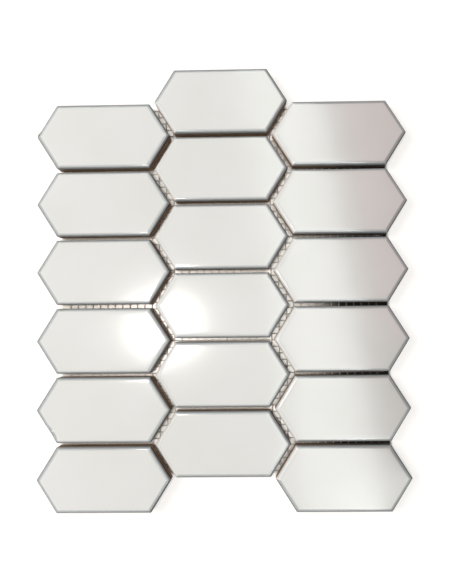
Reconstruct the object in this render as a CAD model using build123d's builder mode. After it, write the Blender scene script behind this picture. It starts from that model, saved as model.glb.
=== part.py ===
from build123d import *
import os
from math import atan2, cos

# Elongated hexagon mosaic sheet, in millimetres.
# Glazed ceramic tiles lie face up in staggered columns on a trimmed fibreglass net.
# X runs along the tiles, Y along the columns, Z up. The origin is under the sheet's centre, on the bed.

# Tile
TILE_LENGTH = 92.0  # point to point
TILE_WIDTH = 44.5  # across the two long edges
POINT_REACH = 14.0  # how far each pointed end runs past the long edges
TILE_THICKNESS = 7.5
CUSHION_RADIUS = 2.0  # rounded rim of the glazed face
BACK_CHAMFER = 0.6  # broken edge round the back

# Keying grooves in the tile's back
GROOVE_WIDTH = 3.0
GROOVE_PITCH = 6.5
GROOVE_DEPTH = 0.6
GROOVE_MARGIN = 5.0  # plain border round the grooves

# Layout
COLUMN_NAMES = ("left", "middle", "right")
ROWS = 6
ROW_JOINT = 2.5  # between tiles of one column
DIAGONAL_JOINT = 3.4  # between the slanted edges of neighbouring columns

# Net
YARN_WIDTH = 0.8
YARN_THICKNESS = 0.25
CROSSWISE_PITCH = 4.5  # from one crosswise yarn to the next, along Y
LENGTHWISE_PITCH = 5.2  # from one lengthwise yarn to the next, along X
NET_SETBACK = 1.2  # the net is trimmed this far inside the tiles' outer edges

# Places worked out from the sizes above
half_length = TILE_LENGTH / 2
half_width = TILE_WIDTH / 2
shoulder = half_length - POINT_REACH
point_angle = atan2(POINT_REACH, half_width)
row_pitch = TILE_WIDTH + ROW_JOINT
column_pitch = TILE_LENGTH - POINT_REACH * row_pitch / TILE_WIDTH + DIAGONAL_JOINT / cos(point_angle)
sheet_width = (len(COLUMN_NAMES) - 1) * column_pitch + TILE_LENGTH
sheet_length = (ROWS - 0.5) * row_pitch + TILE_WIDTH
net_thickness = 2 * YARN_THICKNESS


def tile_centre(column, row):
    """Middle of a tile in plan. Every second column stands half a row higher."""
    x = (column - (len(COLUMN_NAMES) - 1) / 2) * column_pitch
    stagger = row_pitch / 4 if column % 2 else -row_pitch / 4
    return x, ((ROWS - 1) / 2 - row) * row_pitch + stagger


# Sharp hexagon that the tile, its grooves and the net all start from
with BuildSketch() as hexagon:
    with BuildLine():
        Polyline(
            (half_length, 0),
            (shoulder, half_width),
            (-shoulder, half_width),
            (-half_length, 0),
            (-shoulder, -half_width),
            (shoulder, -half_width),
            close=True,
        )
    make_face()

# Keying grooves: stripes along the tile that end at its plain border
groove_room = TILE_WIDTH - 2 * GROOVE_MARGIN - GROOVE_WIDTH
groove_count = int(groove_room / GROOVE_PITCH) + 1
with BuildSketch() as groove_field:
    add(hexagon.sketch)
    offset(amount=-GROOVE_MARGIN, kind=Kind.INTERSECTION)
with BuildSketch() as grooves:
    with GridLocations(0, GROOVE_PITCH, 1, groove_count):
        Rectangle(TILE_LENGTH, GROOVE_WIDTH)
    add(groove_field.sketch, mode=Mode.INTERSECT)

# One tile with its back at Z = 0: pressed body, rounded rim round the face, chamfered and grooved back
with BuildPart() as tile:
    add(hexagon.sketch)
    extrude(amount=TILE_THICKNESS)
    fillet(tile.faces().sort_by(Axis.Z)[-1].edges(), CUSHION_RADIUS)
    chamfer(tile.faces().sort_by(Axis.Z)[0].edges(), BACK_CHAMFER)
    add(grooves.sketch)
    extrude(amount=GROOVE_DEPTH, mode=Mode.SUBTRACT)

os.makedirs("parts", exist_ok=True)

# The tiles of each column, numbered from the top
tile_centres = []
for column, column_name in enumerate(COLUMN_NAMES):
    for row in range(ROWS):
        x, y = tile_centre(column, row)
        tile_centres.append((x, y))
        with BuildPart() as placed_tile:
            with Locations((x, y, net_thickness)):
                add(tile.part)
        placed_tile.part.label = f"tile_{column_name}_{row + 1}"
        export_step(placed_tile.part, f"parts/{placed_tile.part.label}.step")

# Outline of the trimmed net: the tiles grown until their joints close, then cut back inside their outer edges
joint_closing = max(ROW_JOINT, DIAGONAL_JOINT)
with BuildSketch() as tile_cell:
    add(hexagon.sketch)
    offset(amount=joint_closing, kind=Kind.INTERSECTION)
with BuildSketch() as net_outline:
    with Locations(*tile_centres):
        add(tile_cell.sketch)
    offset(amount=-joint_closing - NET_SETBACK, kind=Kind.INTERSECTION)


def bonded_yarns(stripes, cell):
    """Stretches of yarn left after trimming. A snippet shorter than one cell drops out of the net."""
    return stripes.sketch.faces().filter_by(lambda run: run.area > YARN_WIDTH * cell)


# Lower layer: yarns along the tiles, one of them through the middle of the sheet
crosswise_count = 2 * int(sheet_length / 2 / CROSSWISE_PITCH) + 1
with BuildSketch() as crosswise_stripes:
    with GridLocations(0, CROSSWISE_PITCH, 1, crosswise_count):
        Rectangle(sheet_width, YARN_WIDTH)
    add(net_outline.sketch, mode=Mode.INTERSECT)
with BuildPart() as crosswise_yarns:
    extrude(bonded_yarns(crosswise_stripes, LENGTHWISE_PITCH), amount=YARN_THICKNESS)
crosswise_yarns.part.label = "crosswise_yarns"
export_step(crosswise_yarns.part, "parts/crosswise_yarns.step")

# Upper layer: yarns along the columns, under the tiles' backs, the middle two astride the centre line
lengthwise_count = 2 * int(sheet_width / 2 / LENGTHWISE_PITCH)
with BuildSketch(Plane.XY.offset(YARN_THICKNESS)) as lengthwise_stripes:
    with GridLocations(LENGTHWISE_PITCH, 0, lengthwise_count, 1):
        Rectangle(YARN_WIDTH, sheet_length)
    add(net_outline.sketch, mode=Mode.INTERSECT)
with BuildPart() as lengthwise_yarns:
    extrude(bonded_yarns(lengthwise_stripes, CROSSWISE_PITCH), amount=YARN_THICKNESS)
lengthwise_yarns.part.label = "lengthwise_yarns"
export_step(lengthwise_yarns.part, "parts/lengthwise_yarns.step")
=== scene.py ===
from math import copysign, cos, floor, pi, radians, sin
import bmesh
import bpy
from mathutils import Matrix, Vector, noise


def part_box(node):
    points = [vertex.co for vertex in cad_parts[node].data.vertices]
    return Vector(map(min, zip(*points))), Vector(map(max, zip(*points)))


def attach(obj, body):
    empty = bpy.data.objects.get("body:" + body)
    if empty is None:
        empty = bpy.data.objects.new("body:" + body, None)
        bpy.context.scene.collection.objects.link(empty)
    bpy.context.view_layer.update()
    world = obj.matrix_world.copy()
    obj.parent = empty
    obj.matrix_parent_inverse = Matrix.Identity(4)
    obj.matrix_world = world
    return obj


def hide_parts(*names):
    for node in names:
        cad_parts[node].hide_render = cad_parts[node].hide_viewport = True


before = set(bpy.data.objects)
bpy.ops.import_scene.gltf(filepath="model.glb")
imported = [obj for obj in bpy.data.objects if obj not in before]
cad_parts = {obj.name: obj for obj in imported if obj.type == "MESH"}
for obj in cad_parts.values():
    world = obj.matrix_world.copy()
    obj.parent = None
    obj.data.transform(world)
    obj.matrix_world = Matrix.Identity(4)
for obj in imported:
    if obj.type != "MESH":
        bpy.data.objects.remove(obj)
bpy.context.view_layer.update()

MM = 0.001
HAIR = 0.02 * MM  # slack for picking vertices by their place

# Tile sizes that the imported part's boxes don't give
POINT_REACH = 14.0 * MM
CUSHION_RADIUS = 2.0 * MM
CUSHION_RINGS = 7
CORNER_CUT = 0.3 * MM  # pressed corner of the outline, along each edge
FACE_CORNER_CUT = 1.3 * MM  # rounder corner where the flat face begins
CORNER_STEPS = 4
BACK_CHAMFER = 0.6 * MM
SHORTEST_SIDE = 15 * MM  # tells the six sides of the outline from its corners
LONGEST_SLANT = 35 * MM  # tells the slanted sides from the long ones
SLANTED_CUTS = 12
LONG_CUTS = 30
SMOOTH_ANGLE = radians(35)
FACE_RINGS = (  # insets and rises of the swelling face
    (2.6 * MM, 0.05 * MM),
    (3.6 * MM, 0.04 * MM),
    (5.5 * MM, 0.025 * MM),
    (13.0 * MM, 0.03 * MM),
)
CROWN_RISE = sum(rise for inset, rise in FACE_RINGS)

# Glaze
GLAZE_DROP = 2.0 * MM  # the glaze ends this far below the face
GLAZE_LIP = 0.12 * MM  # thickness of the glaze where it ends
THIN_GLAZE = 0.4  # share of the full glaze left at the rim
FULL_GLAZE_INSET = 4.0 * MM  # the glaze has its full thickness this far inside the outline
NEIGHBOUR_REACH = 6.0 * MM  # a rim with another tile this near in front of it is an inner one
INNER_PAINTED_LIGHT = 0.25  # painted light: share of the missing glaze that inner rims get back
LEFT_PAINTED_LIGHT = 0.6  # painted light: how much more of it they get where they face left, towards the lamps
OUTER_PAINTED_SHADE = 0.1  # painted shade: the same share, lost on the sheet's outer rims
RIGHT_PAINTED_SHADE = 0.1  # painted shade: how much more they lose where they face right, away from the lamps
GLAZE_WOBBLE = 0.3 * MM
WOBBLE_SIZE = 5 * MM
GLAZE_RUN = 1.6 * MM  # longest run of glaze down the wall
RUN_SIZE = 11 * MM
RUN_START = 0.15  # only noise above this makes a run
RUN_LAYER = Vector((0, 0, 7))  # keeps the runs apart from the wobble

# Damage on the sheet: its place in plan, its reach, how far it stands out and the share of glaze left on it
MARKS = {
    "tile_left_1": [(Vector((-126.2, 107.7, 0)) * MM, 1.8 * MM, 0.45 * MM, 0.0)],  # bare nub at the tip
    "tile_left_5": [
        (Vector((-117.2, -97.6, 0)) * MM, 5.5 * MM, -0.3 * MM, 0.45),  # chipped rim
        (Vector((-115.7, -96.0, 0)) * MM, 1.0 * MM, 0.0, 1.0),  # bead of glaze left in the chip
    ],
}

# Keying grooves in the back
GROOVE_WIDTH = 3.0 * MM
GROOVE_PITCH = 6.5 * MM
GROOVE_DEPTH = 0.6 * MM
GROOVE_MARGIN = 5.0 * MM
GROOVE_DRAFT = 0.25 * MM
GROOVE_COUNT = 5
CORNER_GAP = 2 * CORNER_CUT  # corner points of the groove field this close to each other become one

# Net
CROSSWISE_PITCH = 4.5 * MM
LENGTHWISE_PITCH = 5.2 * MM
YARN_THICKNESS = 0.25 * MM
YARN_CRIMP = 0.22 * MM  # how far a yarn bends over or under another one
YARN_MERGE = HAIR / 10
FLAT_ANGLE = radians(1)

# Painted shade in the row joints at the sheet's right end
PAINTED_SHADING_START = 60 * MM
PAINTED_SHADING_FULL = 100 * MM
PAINTED_SHADING_STOP = MM  # it stops this far past the end of the joints
PAINTED_SHADING_MARGIN = (2 * MM, 6 * MM)  # it fades in between these distances from the column's two ends
PAINTED_SHADING_ON_WALL = (1.2 * MM, 2.0 * MM)  # heights between which it sets in
PAINTED_SHADING_ON_NET = (0.15 * MM, 0.3 * MM)

# Floor
FLOOR_SIZE = 8
FLOOR_DROP = 0.05 * MM  # below the net
BED_EDGE = 1.5 * MM  # half of the soft edge of the bed under the sheet
BED_PAST_END = 2 * MM  # the bed runs this far past the right end of the row joints
LIT_LANE_INSIDE = (28 * MM, 34 * MM)  # painted light: the paler lanes under the slanted joints begin here, away from the middle
LIT_LANE_OUTSIDE = (47 * MM, 53 * MM)  # and end here
SHADE_START = 45 * MM  # the bed is painted in shade from here to the right
SHADE_FULL = 85 * MM

# Finish of the tiles. A pair of colours or shares of glaze is where a change begins and ends.
GLAZE_WHITES = ((0.685, 0.685, 0.655, 1), (0.715, 0.71, 0.69, 1))
# greys of the thinned glaze on the rims; the darker end is partly painted shade
THIN_GLAZE_AND_SHADE_GREYS = ((0.06, 0.054, 0.045, 1), (0.36, 0.385, 0.39, 1))
CLAY_BROWNS = ((0.29, 0.18, 0.095, 1), (0.38, 0.245, 0.14, 1))
CLAY_SPECK = (0.17, 0.105, 0.06, 1)
# painted shade: near-black clay in the row joints at the sheet's right end
CLAY_PAINTED_SHADING = (0.07, 0.05, 0.037, 1)
GLAZED_FROM = (0.15, 0.25)
GREY_FROM = (THIN_GLAZE, 0.49)
WHITE_FROM = (0.66, 0.85)
POLISHED_BELOW = (0.7, 1.0)
CLAY_ROUGHNESS = 0.9
GLAZE_POLISH = 0.735  # how much smoother the glaze is than the clay
RIM_POLISH = 0.08  # and how much more on the rim
GLAZE_IOR = 1.52
CLOUD_SIZE = 45 * MM
RIPPLE_SIZE = 9 * MM
RIPPLE_DEPTH = 0.004 * MM
GRAIN_SIZE = 0.35 * MM
GRAIN_DEPTH = 0.12 * MM
CLAY_PATCH_SIZE = 6 * MM

# Finish of the net
YARN_CREAMS = ((0.51, 0.477, 0.43, 1), (0.57, 0.54, 0.49, 1))
FILAMENT_SHADOW = (0.39, 0.36, 0.32, 1)
# painted shade: near-black yarn in the row joints at the sheet's right end
YARN_PAINTED_SHADING = (0.05, 0.042, 0.032, 1)
YARN_ROUGHNESS = 0.85
SIZING_POLISH = 0.1  # how much smoother the yarn is where its sizing is thick
SIZING_PATCH = 12 * MM
FILAMENT_WIDTH = 0.07 * MM
FILAMENT_LENGTH = 3 * MM
FILAMENT_DEPTH = 0.05 * MM

# Finish of the floor and the room
PAINTED_BED_COLOURS = ((0.46, 0.42, 0.37, 1), (0.88, 0.85, 0.81, 1))  # painted shade between the lanes and painted light in them
BED_SHEEN = (1.0, 0.915, 0.865, 1)
BED_ROUGHNESS = 0.27
BED_IOR = 1.75
BED_SHADE = (0.02, 0.017, 0.014, 1)
PAPER_COLOUR = (0.52, 0.515, 0.505, 1)
PAPER_ROUGHNESS = 0.9
PAPER_GLOW = (1.0, 0.985, 0.96, 1)
GLOW_STRENGTH = 0.66
ROOM_COLOUR = (0.10, 0.095, 0.095, 1)
WHITE = (1, 1, 1, 1)
BLACK = (0, 0, 0, 1)

# Lights
WARM = (1.0, 0.955, 0.93)
COOL = (0.93, 1.0, 0.98)
PINK = (1.0, 0.35, 0.5)
CARDS = (  # soft boxes that only show in reflections: name, place, size, radiance, turn and colour
    ("ceiling", (-0.727, -0.046, 1.6), (2.4, 3.4), 4.9, 7, COOL),
    ("window", (0.284, 0.08, 1.59), (0.36, 3.4), 3.0, 7, COOL),
    ("corner", (0.95, -0.95, 1.58), (1.0, 0.7), 3.4, 20, COOL),
    ("warm_wall", (0.95, 0.75, 1.57), (1.0, 1.6), 1.2, 7, PINK),
)
LAMP_PLACE = (-0.37, -0.05, 1.5)
LAMP_SIZE = (0.2, 0.17)
LAMP_RADIANCE = 72.0
SIDE_PLACE = (-2.1, 0.5, 1.7)
SIDE_SIZE = (1.2, 1.2)
SIDE_RADIANCE = 10.0

# Camera, in the photograph's frame
IMAGE_HEIGHT = 584
CAMERA_PLACE = (0.0231, -0.0208, 0.2873)
CAMERA_TURN = (1.43, 0.69, -0.58)  # degrees
CAMERA_LENS = 25.41
SENSOR_WIDTH = 36
FRAME_SHIFT = (-25.2, 15.9)  # pixels

tile_low, tile_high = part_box("tile_left_1")
half_length = (tile_high.x - tile_low.x) / 2
half_width = (tile_high.y - tile_low.y) / 2
thickness = tile_high.z - tile_low.z
rim_height = thickness - CROWN_RISE  # where the rounded rim meets the face
lip_height = thickness - GLAZE_DROP
tip_stretch = Vector((POINT_REACH, half_width)).length / half_width
slanted = Vector((half_width, POINT_REACH, 0)).normalized()  # straight out over a slanted edge
tile_nodes = sorted(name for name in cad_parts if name.startswith("tile_"))
tile_centres = {name: (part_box(name)[0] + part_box(name)[1]) / 2 for name in tile_nodes}


def open_for_editing(piece):
    """Selects one object alone and opens its mesh."""
    bpy.ops.object.select_all(action="DESELECT")
    piece.select_set(True)
    bpy.context.view_layer.objects.active = piece
    bpy.ops.object.mode_set(mode="EDIT")


def pick(kind, test):
    """Selects the open mesh's vertices, edges or faces that pass the test, and nothing else."""
    bpy.ops.mesh.select_mode(type=kind)
    bpy.ops.mesh.select_all(action="DESELECT")
    data = bpy.context.edit_object.data
    mesh = bmesh.from_edit_mesh(data)
    for element in {"VERT": mesh.verts, "EDGE": mesh.edges, "FACE": mesh.faces}[kind]:
        if test(element):
            element.select_set(True)
    mesh.select_flush_mode()
    bmesh.update_edit_mesh(data)


def span(edge):
    """Vector from one end of an edge to the other."""
    return edge.verts[1].co - edge.verts[0].co


def hexagon_at(inset):
    """Tip, shoulder and long edge of the tile's outline, moved inwards."""
    tip = half_length - inset * tip_stretch
    edge = half_width - inset
    return tip, tip - POINT_REACH / half_width * edge, edge


def shrink(from_inset, to_inset):
    """Scales the selected outline from one inset to another."""
    old_tip, _, old_edge = hexagon_at(from_inset)
    new_tip, _, new_edge = hexagon_at(to_inset)
    scale = (new_tip / old_tip, new_edge / old_edge, 1)
    bpy.ops.transform.resize(value=scale, center_override=(0, 0, 0))


def stretch_hexagon(inset, lowest=-1.0):
    """Turns the regular hexagon above this level into the tile's elongated one."""
    tip, shoulder, edge = hexagon_at(inset)
    pick("VERT", lambda v: v.co.z > lowest and abs(v.co.y) > MM)
    scale = (shoulder / half_length / cos(pi / 3), edge / half_length / sin(pi / 3), 1)
    bpy.ops.transform.resize(value=scale, center_override=(0, 0, 0))
    pick("VERT", lambda v: v.co.z > lowest and abs(v.co.y) < MM)
    bpy.ops.transform.resize(value=(tip / half_length, 1, 1), center_override=(0, 0, 0))


def press_body():
    """Straight-walled body with broken corners and a chamfered back, which stands on Z = 0."""
    bpy.ops.object.select_all(action="DESELECT")
    bpy.ops.mesh.primitive_cylinder_add(
        vertices=6,
        radius=half_length,
        depth=thickness,
        location=(0, 0, thickness / 2),
        rotation=(0, 0, pi / 2),
    )
    tile = bpy.context.object
    tile.name = "tile_master"
    bpy.ops.object.transform_apply(location=True, rotation=True, scale=True)
    open_for_editing(tile)
    stretch_hexagon(0)
    pick("EDGE", lambda e: abs(span(e).z) > MM)
    bpy.ops.mesh.bevel(offset=CORNER_CUT, segments=CORNER_STEPS, affect="EDGES")
    pick("FACE", lambda f: f.normal.z < -0.9)
    bpy.ops.mesh.region_to_loop()
    bpy.ops.mesh.bevel(offset=BACK_CHAMFER, segments=2, affect="EDGES")
    return tile


def round_cushion():
    """The wall stops short, the face is a hexagon of its own, and rings on a quarter circle join the two."""
    pick("VERT", lambda v: v.co.z > thickness - HAIR)
    bpy.ops.transform.translate(value=(0, 0, -CUSHION_RADIUS - CROWN_RISE))
    pick("FACE", lambda f: f.normal.z > 0.9)
    bpy.ops.mesh.delete(type="ONLY_FACE")
    bpy.ops.mesh.select_all(action="DESELECT")
    bpy.ops.mesh.primitive_circle_add(
        vertices=6,
        radius=half_length,
        fill_type="NGON",
        location=(0, 0, rim_height),
        rotation=(0, 0, pi / 2),
    )
    stretch_hexagon(CUSHION_RADIUS, lowest=rim_height - HAIR)
    pick("VERT", lambda v: v.co.z > rim_height - HAIR)
    bpy.ops.mesh.bevel(offset=FACE_CORNER_CUT, segments=CORNER_STEPS, affect="VERTICES")
    pick("EDGE", lambda e: e.is_boundary)
    bpy.ops.mesh.bridge_edge_loops(type="SINGLE", number_cuts=CUSHION_RINGS, interpolation="LINEAR")
    for ring in range(CUSHION_RINGS, 0, -1):
        share = ring / (CUSHION_RINGS + 1)
        straight = rim_height - (1 - share) * CUSHION_RADIUS
        pick("VERT", lambda v: abs(v.co.z - straight) < HAIR)
        shrink(share * CUSHION_RADIUS, (1 - cos(share * pi / 2)) * CUSHION_RADIUS)
        lift = (sin(share * pi / 2) - share) * CUSHION_RADIUS
        bpy.ops.transform.translate(value=(0, 0, lift))


def step_wall_under_glaze():
    """Below the glaze the bare wall stands back by the glaze's thickness."""
    for height in (lip_height, lip_height - GLAZE_LIP):
        bpy.ops.mesh.select_all(action="SELECT")
        bpy.ops.mesh.bisect(plane_co=(0, 0, height), plane_no=(0, 0, 1))
    pick("VERT", lambda v: v.co.z < lip_height - GLAZE_LIP + HAIR)
    shrink(0, GLAZE_LIP)


def add_points_round_outline():
    """Short stretches along the outline, so that the glaze's edge can be uneven."""
    for shortest, longest, cuts in (
        (SHORTEST_SIDE, LONGEST_SLANT, SLANTED_CUTS),
        (LONGEST_SLANT, 2 * half_length, LONG_CUTS),
    ):
        pick("EDGE", lambda e: abs(span(e).z) < HAIR and shortest < span(e).length < longest)
        bpy.ops.mesh.subdivide(number_cuts=cuts)
    for level in (0, rim_height):
        pick("FACE", lambda f: all(abs(v.co.z - level) < HAIR for v in f.verts))
        bpy.ops.mesh.dissolve_faces()


def step_in(from_inset, to_inset, rise):
    """A smaller outline inside the selected face, moved up by the rise."""
    bpy.ops.mesh.extrude_region_move(TRANSFORM_OT_translate={"value": (0, 0, rise)})
    shrink(from_inset, to_inset)


def crown_face():
    """The glazed face swells a little towards its middle."""
    pick("FACE", lambda f: all(abs(v.co.z - rim_height) < HAIR for v in f.verts))
    start = CUSHION_RADIUS
    for inset, rise in FACE_RINGS:
        step_in(start, inset, rise)
        start = inset


def key_back():
    """Grooves with sloping sides along the back, inside a plain border."""
    pick("FACE", lambda f: all(abs(v.co.z) < HAIR for v in f.verts))
    border = BACK_CHAMFER + GLAZE_LIP
    step_in(border, GROOVE_MARGIN, 0)
    bpy.ops.mesh.remove_doubles(threshold=CORNER_GAP)
    middles = [(i - (GROOVE_COUNT - 1) / 2) * GROOVE_PITCH for i in range(GROOVE_COUNT)]

    def in_field(f):
        flat = all(abs(v.co.z) < HAIR for v in f.verts)
        return flat and all(nearest_edge(v.co.x, v.co.y)[0] > GROOVE_MARGIN / 2 for v in f.verts)

    for middle in middles:
        for side in (-1, 1):
            pick("FACE", in_field)
            place = (0, middle + side * GROOVE_WIDTH / 2, 0)
            bpy.ops.mesh.bisect(plane_co=place, plane_no=(0, 1, 0))

    def in_groove(f):
        height = f.calc_center_median().y
        return in_field(f) and any(abs(height - middle) < GROOVE_WIDTH / 4 for middle in middles)

    pick("FACE", in_groove)
    bpy.ops.mesh.inset(thickness=GROOVE_DRAFT, depth=-GROOVE_DEPTH, use_individual=True)


def nearest_edge(x, y):
    """How far inside the tile's outline a spot is, and the way straight out over the nearest edge."""
    from_long = half_width - abs(y)
    from_slanted = (half_length - abs(x)) * slanted.x - abs(y) * slanted.y
    if from_long < from_slanted:
        return from_long, Vector((0, copysign(1, y), 0))
    return from_slanted, Vector((copysign(slanted.x, x), copysign(slanted.y, y), 0))


def glaze_left(spot):
    """Share of the full glaze: it thins over the rounded rim and ends at the lip."""
    if spot.z < lip_height - HAIR:
        return 0.0
    inset, out = nearest_edge(spot.x, spot.y)
    return min(1.0, THIN_GLAZE + (1 - THIN_GLAZE) * inset / FULL_GLAZE_INSET)


def model_tile():
    """One tile, with its back on Z = 0 and its middle on the Z axis."""
    tile = press_body()
    round_cushion()
    step_wall_under_glaze()
    add_points_round_outline()
    crown_face()
    key_back()
    bpy.ops.mesh.select_all(action="SELECT")
    bpy.ops.mesh.normals_make_consistent(inside=False)
    bpy.ops.object.mode_set(mode="OBJECT")
    bpy.ops.object.shade_smooth_by_angle(angle=SMOOTH_ANGLE)
    glaze = tile.data.attributes.new("glaze", "FLOAT", "POINT")
    for vertex in tile.data.vertices:
        glaze.data[vertex.index].value = glaze_left(vertex.co)
    return tile


def under_a_tile(spot):
    """True where some tile covers this spot of the plan."""
    for centre in tile_centres.values():
        x, y = abs(spot.x - centre.x), abs(spot.y - centre.y)
        if y < half_width and x < half_length - POINT_REACH * y / half_width:
            return True
    return False


def rim_painted_light_and_shade(place, out):
    """Painted light and shade on a rim: the share of the missing glaze that it gets back, or loses on the
    sheet's outer edges.
    """
    if under_a_tile(place + out * NEIGHBOUR_REACH):
        return max(0.0, INNER_PAINTED_LIGHT - LEFT_PAINTED_LIGHT * out.x)
    return -OUTER_PAINTED_SHADE - RIGHT_PAINTED_SHADE * max(0.0, out.x)


def refine_marks(tile, node):
    """Smaller faces where the tile is damaged."""
    open_for_editing(tile)
    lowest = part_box(node)[0].z + MM

    def near(v, spot, reach):
        return v.co.z > lowest and (Vector((v.co.x, v.co.y, 0)) - spot).length < reach

    for spot, reach, stand, left in MARKS[node]:
        pick("EDGE", lambda e: all(near(v, spot, reach) for v in e.verts))
        bpy.ops.mesh.subdivide(number_cuts=1)
    bpy.ops.object.mode_set(mode="OBJECT")


def lay_tile(master, node):
    """A copy of the tile in its node's place, with a glaze edge and damage of its own."""
    low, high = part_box(node)
    tile = bpy.data.objects.new("glazed_" + node, master.data.copy())
    bpy.context.scene.collection.objects.link(tile)
    centre = Vector(((low.x + high.x) / 2, (low.y + high.y) / 2, low.z))
    for vertex in tile.data.vertices:
        vertex.co += centre
    if node in MARKS:
        refine_marks(tile, node)
    glaze = tile.data.attributes["glaze"].data
    for vertex in tile.data.vertices:
        plan = Vector((vertex.co.x, vertex.co.y, 0))
        height = vertex.co.z - low.z
        inset, out = nearest_edge(plan.x - centre.x, plan.y - centre.y)
        share = glaze[vertex.index].value
        # painted light and shade: the rim's glaze share, and so its grey, shifts with the side it faces
        if 0 < share < 1:
            share += (1 - share) * rim_painted_light_and_shade(plan, out)
        if lip_height - GLAZE_LIP - HAIR < height < lip_height + HAIR:
            wave = noise.noise(plan / WOBBLE_SIZE)
            run = max(0.0, noise.noise(plan / RUN_SIZE + RUN_LAYER) - RUN_START)
            vertex.co.z += GLAZE_WOBBLE * wave - GLAZE_RUN * run
        if height > MM and inset < CUSHION_RADIUS + MM:
            for spot, reach, stand, left in MARKS.get(node, ()):
                weight = max(0.0, 1 - ((plan - spot).length / reach) ** 2)
                vertex.co += out * stand * weight
                share += (left - share) * weight
        glaze[vertex.index].value = share
    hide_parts(node)
    return tile


def weave_yarns(node, along, cross_pitch, cross_offset, own_pitch, own_offset, side):
    """The yarns of one direction, made from their flat bars and bent over and under the other direction."""
    yarns = bpy.data.objects.new("woven_" + node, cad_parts[node].data.copy())
    yarns.data.materials.clear()
    bpy.context.scene.collection.objects.link(yarns)
    open_for_editing(yarns)
    bpy.ops.mesh.select_all(action="SELECT")
    bpy.ops.mesh.remove_doubles(threshold=YARN_MERGE)
    bpy.ops.mesh.dissolve_limited(angle_limit=FLAT_ANGLE)
    low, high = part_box(node)
    across = 1 - along
    axis = Vector((1, 0, 0)) if along == 0 else Vector((0, 1, 0))
    first = floor((low[along] - cross_offset) / cross_pitch)
    last = floor((high[along] - cross_offset) / cross_pitch)
    crossings = [cross_offset + i * cross_pitch for i in range(first, last + 1)]
    for crossing in crossings:
        bpy.ops.mesh.select_all(action="SELECT")
        bpy.ops.mesh.bisect(plane_co=axis * crossing, plane_no=axis)
    bpy.ops.object.mode_set(mode="OBJECT")
    for vertex in yarns.data.vertices:
        step = (vertex.co[along] - cross_offset) / cross_pitch
        row = round((vertex.co[across] - own_offset) / own_pitch)
        vertex.co.z += side * YARN_THICKNESS / 2
        if abs(step - round(step)) * cross_pitch < HAIR:
            over = 1 if (round(step) + row) % 2 else -1
            vertex.co.z += side * over * YARN_CRIMP
    smooth = yarns.modifiers.new("round_section", "SUBSURF")
    smooth.levels = 1
    smooth.render_levels = 1
    bpy.ops.object.modifier_apply(modifier=smooth.name)
    bpy.ops.object.shade_smooth()
    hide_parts(node)
    return yarns


class Wire:
    """One socket of a node tree. Arithmetic on wires adds the Math nodes that work it out."""

    def __init__(self, tree, socket=None):
        self.tree = tree
        self.socket = socket

    def node(self, kind, settings=None, inputs=None, output=0):
        """Adds a node: its settings first, then a value or a wire for each socket that is named."""
        made = self.tree.nodes.new(kind)
        for name, value in (settings or {}).items():
            setattr(made, name, value)
        for name, value in (inputs or {}).items():
            if isinstance(value, Wire):
                self.tree.links.new(value.socket, made.inputs[name])
            else:
                made.inputs[name].default_value = value
        return Wire(self.tree, made.outputs[output] if made.outputs else None)

    def math(self, operation, first, second):
        return self.node("ShaderNodeMath", {"operation": operation}, {0: first, 1: second})

    def __add__(self, other):
        return self.math("ADD", self, other)

    def __radd__(self, other):
        return self.math("ADD", other, self)

    def __sub__(self, other):
        return self.math("SUBTRACT", self, other)

    def __rsub__(self, other):
        return self.math("SUBTRACT", other, self)

    def __mul__(self, other):
        return self.math("MULTIPLY", self, other)

    def __rmul__(self, other):
        return self.math("MULTIPLY", other, self)

    def ramp(self, low, high):
        """0 below low, 1 above high and a smooth rise between them."""
        settings = {"interpolation_type": "SMOOTHSTEP"}
        return self.node("ShaderNodeMapRange", settings, {0: self, 1: low, 2: high})

    def noise(self, size, detail=2.0):
        """Cloudy pattern about 0.5, with patches of this size, where self is a place."""
        inputs = {"Vector": self, "Scale": 1 / size, "Detail": detail}
        return self.node("ShaderNodeTexNoise", None, inputs)

    def blend(self, first, second):
        """Colour that goes from first to second as self goes from 0 to 1."""
        return self.node("ShaderNodeMix", {"data_type": "RGBA"}, {0: self, 6: first, 7: second}, 2)


def new_finish(name):
    """An empty material, and a wire to start its nodes from."""
    material = bpy.data.materials.new(name)
    material.use_nodes = True
    material.node_tree.nodes.clear()
    return material, Wire(material.node_tree)


def painted_end_shading(start, place):
    """1 in the joints at the sheet's right end, which are painted near black as shade, and 0 elsewhere."""
    across = start.node("ShaderNodeSeparateXYZ", None, {"Vector": place}, "X")
    upwards = start.node("ShaderNodeSeparateXYZ", None, {"Vector": place}, "Y")
    joint_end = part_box("tile_right_1")[1].x - POINT_REACH
    bottom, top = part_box("tile_right_6")[0].y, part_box("tile_right_1")[1].y
    near, far = PAINTED_SHADING_MARGIN
    between_ends = upwards.ramp(bottom + near, bottom + far) * (1 - upwards.ramp(top - far, top - near))
    before_joint_end = 1 - across.ramp(joint_end, joint_end + PAINTED_SHADING_STOP)
    return across.ramp(PAINTED_SHADING_START, PAINTED_SHADING_FULL) * before_joint_end * between_ends


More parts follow.
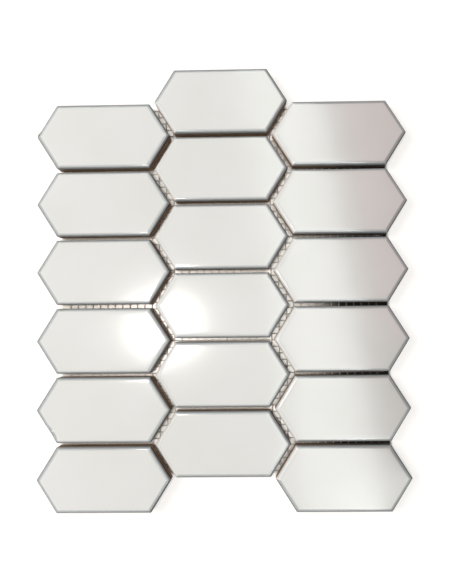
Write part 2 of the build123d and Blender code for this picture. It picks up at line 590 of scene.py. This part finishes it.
def tile_finish():
    """White glaze over brown fired clay. The mesh's own glaze value says how thick the glaze is, and on the
    rims it also carries painted light and shade.
    """
    material, start = new_finish("glazed_tile")
    place = start.node("ShaderNodeTexCoord", output="Object")
    glaze_share_and_rim_shade = start.node("ShaderNodeAttribute", {"attribute_name": "glaze"}, output="Fac")
    glaze = glaze_share_and_rim_shade.ramp(*GLAZED_FROM)
    cloud = place.noise(CLOUD_SIZE).ramp(0.3, 0.7)
    white = cloud.blend(*GLAZE_WHITES)
    # grey rims: real thinned glaze, darkened further as painted shade
    thin_and_shaded = glaze_share_and_rim_shade.ramp(*GREY_FROM).blend(*THIN_GLAZE_AND_SHADE_GREYS)
    white = glaze_share_and_rim_shade.ramp(*WHITE_FROM).blend(thin_and_shaded, white)
    rim_polish = RIM_POLISH * (1 - glaze_share_and_rim_shade.ramp(*POLISHED_BELOW))
    grain = place.noise(GRAIN_SIZE, 4.0)
    patch = place.noise(CLAY_PATCH_SIZE, 3.0).ramp(0.3, 0.7)
    clay = patch.blend(*CLAY_BROWNS)
    clay = grain.ramp(0.35, 0.5).blend(CLAY_SPECK, clay)
    height = start.node("ShaderNodeSeparateXYZ", None, {"Vector": place}, "Z")
    # painted shade: the clay turns near black in the row joints at the right end
    shaded_end = painted_end_shading(start, place) * height.ramp(*PAINTED_SHADING_ON_WALL)
    clay = shaded_end.blend(clay, CLAY_PAINTED_SHADING)
    ripple = place.noise(RIPPLE_SIZE, 1.0)
    relief = glaze * ripple * RIPPLE_DEPTH + (1 - glaze) * grain * GRAIN_DEPTH
    bump = start.node("ShaderNodeBump", None, {"Height": relief, "Distance": 1.0, "Strength": 1.0})
    inputs = {
        "Base Color": glaze.blend(clay, white),
        "Roughness": CLAY_ROUGHNESS - (GLAZE_POLISH + rim_polish) * glaze,
        "IOR": GLAZE_IOR,
        "Normal": bump,
    }
    surface = start.node("ShaderNodeBsdfPrincipled", None, inputs)
    start.node("ShaderNodeOutputMaterial", None, {"Surface": surface})
    return material


def yarn_finish(name, along):
    """Cream glass fibre, with its filaments along the yarn."""
    material, start = new_finish(name)
    place = start.node("ShaderNodeTexCoord", output="Object")
    squeeze = [1 / FILAMENT_WIDTH] * 3
    squeeze[along] = 1 / FILAMENT_LENGTH
    streaks = start.node("ShaderNodeMapping", None, {"Vector": place, "Scale": squeeze})
    filament = streaks.noise(1.0)
    sizing = place.noise(SIZING_PATCH).ramp(0.35, 0.65)
    cream = sizing.blend(*YARN_CREAMS)
    cream = filament.ramp(0.3, 0.55).blend(FILAMENT_SHADOW, cream)
    height = start.node("ShaderNodeSeparateXYZ", None, {"Vector": place}, "Z")
    # painted shade: the yarn turns near black in the row joints at the right end
    shaded_end = painted_end_shading(start, place) * height.ramp(*PAINTED_SHADING_ON_NET)
    relief = filament * FILAMENT_DEPTH
    inputs = {
        "Base Color": shaded_end.blend(cream, YARN_PAINTED_SHADING),
        "Roughness": YARN_ROUGHNESS - SIZING_POLISH * sizing,
        "Normal": start.node("ShaderNodeBump", None, {"Height": relief, "Distance": 1.0}),
    }
    surface = start.node("ShaderNodeBsdfPrincipled", None, inputs)
    start.node("ShaderNodeOutputMaterial", None, {"Surface": surface})
    return material


def seen_directly(start):
    """1 where the eye sees a surface, straight or in a reflection, and 0 where it only gives light."""
    rays = [
        start.node("ShaderNodeLightPath", output=ray)
        for ray in ("Is Camera Ray", "Is Glossy Ray", "Is Transmission Ray")
    ]
    return rays[0] + rays[1] + rays[2]


def outside_box(place, low, high):
    """0 on the floor under a box, 1 away from it, where place is a spot on the floor."""
    sides = []
    for axis, name in enumerate("XY"):
        spot = place.node("ShaderNodeSeparateXYZ", None, {"Vector": place}, name)
        middle = (low[axis] + high[axis]) / 2
        away = place.math("ABSOLUTE", spot - middle, 0.0)
        reach = (high[axis] - low[axis]) / 2
        sides.append(away.ramp(reach - BED_EDGE, reach + BED_EDGE))
    return place.math("MAXIMUM", sides[0], sides[1])


def floor_finish():
    """A shiny bed under the sheet, painted in shade between pale lanes of painted light and towards the
    right, and round it paper that is white to the eye and keeps the shadows.
    """
    material, start = new_finish("white_floor")
    place = start.node("ShaderNodeTexCoord", output="Object")
    left_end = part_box("tile_left_1")[0].x + POINT_REACH
    right_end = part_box("tile_right_1")[1].x - POINT_REACH + BED_PAST_END
    bottom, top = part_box("tile_middle_6")[0].y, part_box("tile_left_1")[1].y
    in_the_open = outside_box(place, (left_end, bottom), (right_end, top))
    across = start.node("ShaderNodeSeparateXYZ", None, {"Vector": place}, "X")
    away = place.math("ABSOLUTE", across, 0.0)
    # painted light: paler lanes of the bed under the slanted joints
    lit_lane = away.ramp(*LIT_LANE_INSIDE) * (1 - away.ramp(*LIT_LANE_OUTSIDE))
    inputs = {
        "Base Color": lit_lane.blend(*PAINTED_BED_COLOURS),
        "Roughness": BED_ROUGHNESS,
        "IOR": BED_IOR,
        "Specular Tint": BED_SHEEN,
    }
    bed = start.node("ShaderNodeBsdfPrincipled", None, inputs)
    shade = start.node("ShaderNodeBsdfDiffuse", None, {"Color": BED_SHADE})
    # painted shade: the bed turns dark towards the sheet's right side
    in_shade = across.ramp(SHADE_START, SHADE_FULL)
    bed = start.node("ShaderNodeMixShader", None, {0: in_shade, 1: bed, 2: shade})
    inputs = {
        "Base Color": PAPER_COLOUR,
        "Roughness": PAPER_ROUGHNESS,
        "Emission Color": seen_directly(start).blend(BLACK, PAPER_GLOW),
        "Emission Strength": GLOW_STRENGTH,
    }
    paper = start.node("ShaderNodeBsdfPrincipled", None, inputs)
    surface = start.node("ShaderNodeMixShader", None, {0: in_the_open, 1: bed, 2: paper})
    start.node("ShaderNodeOutputMaterial", None, {"Surface": surface})
    return material


def lay_floor():
    bpy.ops.object.select_all(action="DESELECT")
    bpy.ops.mesh.primitive_plane_add(size=FLOOR_SIZE, location=(0, 0, -FLOOR_DROP))
    paper = bpy.context.object
    paper.name = "floor"
    paper.data.materials.append(floor_finish())


def light_world():
    """Dim, slightly warm room, seen as plain white behind the floor."""
    world = bpy.data.worlds.new("room")
    world.use_nodes = True
    world.node_tree.nodes.clear()
    start = Wire(world.node_tree)
    colour = seen_directly(start).blend(ROOM_COLOUR, WHITE)
    room = start.node("ShaderNodeBackground", None, {"Color": colour})
    start.node("ShaderNodeOutputWorld", None, {"Surface": room})
    bpy.context.scene.world = world


def hang_light(name, place, size, radiance, turn=0.0, colour=(1, 1, 1), target=None):
    """A soft box that faces straight down, or towards its target."""
    data = bpy.data.lights.new(name, "AREA")
    data.shape = "RECTANGLE"
    data.size = size[0]
    data.size_y = size[1]
    data.energy = radiance * pi * size[0] * size[1]
    data.color = colour
    lamp = bpy.data.objects.new(name, data)
    lamp.location = place
    lamp.rotation_euler = (0, 0, radians(turn))
    if target is not None:
        lamp.rotation_euler = (Vector(target) - Vector(place)).to_track_quat("-Z", "Y").to_euler()
    lamp.visible_camera = False
    bpy.context.scene.collection.objects.link(lamp)
    return lamp


def make_camera():
    data = bpy.data.cameras.new("camera")
    data.sensor_width = SENSOR_WIDTH
    data.lens = CAMERA_LENS
    data.shift_x = FRAME_SHIFT[0] / IMAGE_HEIGHT
    data.shift_y = FRAME_SHIFT[1] / IMAGE_HEIGHT
    camera = bpy.data.objects.new("camera", data)
    camera.location = CAMERA_PLACE
    camera.rotation_euler = [radians(angle) for angle in CAMERA_TURN]
    bpy.context.scene.collection.objects.link(camera)
    bpy.context.scene.camera = camera


# Tiles
glazed_tile = tile_finish()
tile_master = model_tile()
for node in tile_nodes:
    tile = lay_tile(tile_master, node)
    tile.data.materials.append(glazed_tile)
    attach(tile, "root")
bpy.data.objects.remove(tile_master)

# Net: crosswise yarns stand on multiples of their pitch, lengthwise ones half a pitch off the middle
crosswise = weave_yarns(
    "crosswise_yarns", 0, LENGTHWISE_PITCH, LENGTHWISE_PITCH / 2, CROSSWISE_PITCH, 0.0, 1
)
crosswise.data.materials.append(yarn_finish("crosswise_fibre", 0))
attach(crosswise, "root")
lengthwise = weave_yarns(
    "lengthwise_yarns", 1, CROSSWISE_PITCH, 0.0, LENGTHWISE_PITCH, LENGTHWISE_PITCH / 2, -1
)
lengthwise.data.materials.append(yarn_finish("lengthwise_fibre", 1))
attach(lengthwise, "root")

# Studio
lay_floor()
light_world()
for name, place, size, radiance, turn, colour in CARDS:
    card = hang_light(name, place, size, radiance, turn=turn, colour=colour)
    card.visible_diffuse = False
hang_light("lamp", LAMP_PLACE, LAMP_SIZE, LAMP_RADIANCE, colour=WARM)
side = hang_light("side", SIDE_PLACE, SIDE_SIZE, SIDE_RADIANCE, colour=WARM, target=(0, 0, 0))
side.visible_glossy = False
make_camera()
bpy.context.scene.view_settings.view_transform = "Standard"
